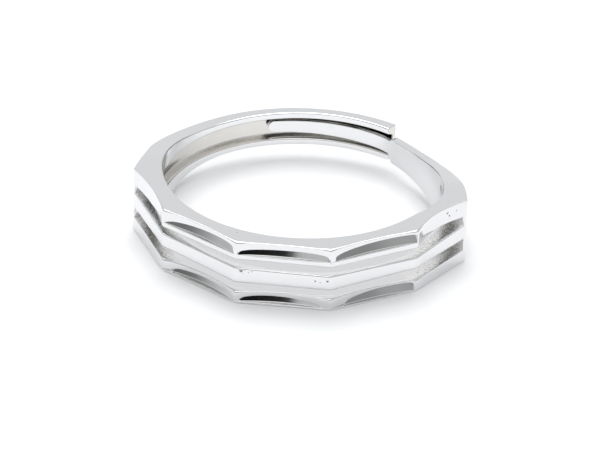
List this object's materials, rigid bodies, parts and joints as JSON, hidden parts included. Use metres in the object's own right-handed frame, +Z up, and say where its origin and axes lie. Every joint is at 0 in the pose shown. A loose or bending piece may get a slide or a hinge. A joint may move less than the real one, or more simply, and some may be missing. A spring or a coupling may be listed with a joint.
{
  "type": "double layer ring",
  "caption": "Open, adjustable silver finger ring: a faceted front of rails with slots between them, and a flat tongue that lies in a channel at the back.",
  "frame": {"origin": "where the finger hole's axis meets the flat rest face", "axes": "+Z up from the rest face along the finger hole's axis; -Y towards the middle facet of the front; +X towards the arm that carries the tongue"},
  "size_m": [0.0205, 0.019, 0.0042],
  "materials": {
    "silver": "polished sterling silver, a little rough where the casting was not reached by the polish"
  },
  "bodies": {
    "root": {"ring_band": "silver"}
  },
  "joints": []
}
